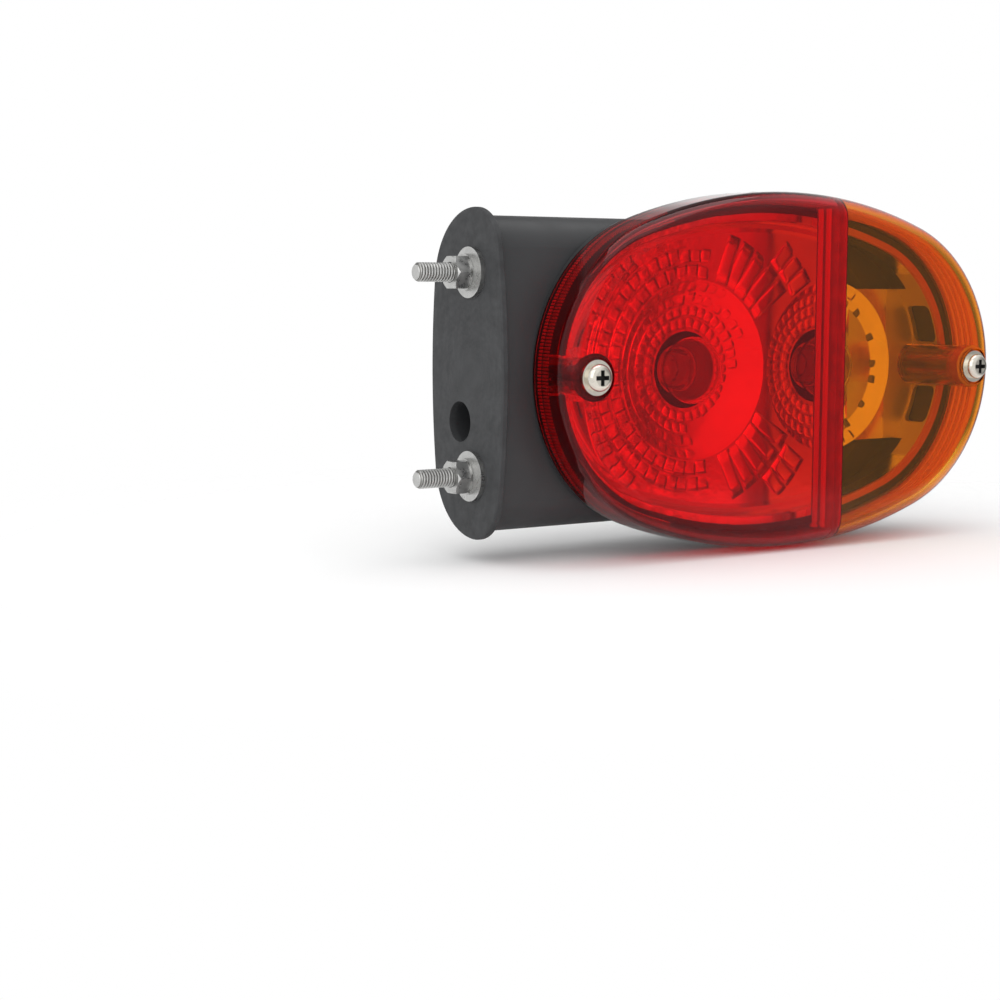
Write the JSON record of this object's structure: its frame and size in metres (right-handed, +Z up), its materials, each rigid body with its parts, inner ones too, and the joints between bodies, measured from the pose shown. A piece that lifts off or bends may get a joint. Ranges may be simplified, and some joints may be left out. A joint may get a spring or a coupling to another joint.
{
  "type": "tail light cluster",
  "caption": "Oval rear lamp with a red and amber lens on a black housing, held by a side arm whose end carries a rubber pad and threaded studs.",
  "frame": {"origin": "middle of the two mounting studs, on the outer face of the mounting pad", "axes": "+Z up, the studs point to -X, the arm and the lens run along +X, and the lens faces -Y"},
  "size_m": [0.2167, 0.0694, 0.119],
  "materials": {
    "housing_plastic": "fine grain",
    "pad_rubber": "matte",
    "seal_rubber": "matte",
    "red_acrylic": "clear red",
    "amber_acrylic": "clear amber",
    "metallised": "vacuum-metallised",
    "bulb_glass": "clear",
    "brass": "plain",
    "contact_board": "matte",
    "zinc_steel": "zinc-plated",
    "screw_steel": "nickel-plated"
  },
  "bodies": {
    "root": {"housing": "housing_plastic", "mounting_pad": "pad_rubber", "red_lens": "red_acrylic", "amber_lens": "amber_acrylic", "lens_seal": "seal_rubber", "reflector": "metallised", "earth_strip": "brass", "mounting_stud_upper": "zinc_steel", "flat_washer_upper": "zinc_steel", "spring_washer_upper": "zinc_steel", "mounting_nut_upper": "zinc_steel", "mounting_stud_lower": "zinc_steel", "flat_washer_lower": "zinc_steel", "spring_washer_lower": "zinc_steel", "mounting_nut_lower": "zinc_steel", "lens_screw_inner": "screw_steel", "lens_washer_inner": "screw_steel", "screw_insert_inner": "brass", "lens_screw_outer": "screw_steel", "lens_washer_outer": "screw_steel", "screw_insert_outer": "brass", "tail_stop_bulb_glass": "bulb_glass", "tail_stop_bulb_cap": "brass", "tail_stop_bulb_holder": "zinc_steel", "tail_stop_contact_disc": "contact_board", "tail_stop_contact_blade": "brass", "indicator_bulb_glass": "bulb_glass", "indicator_bulb_cap": "brass", "indicator_bulb_holder": "zinc_steel", "indicator_contact_disc": "contact_board", "indicator_contact_blade": "brass"}
  },
  "joints": []
}
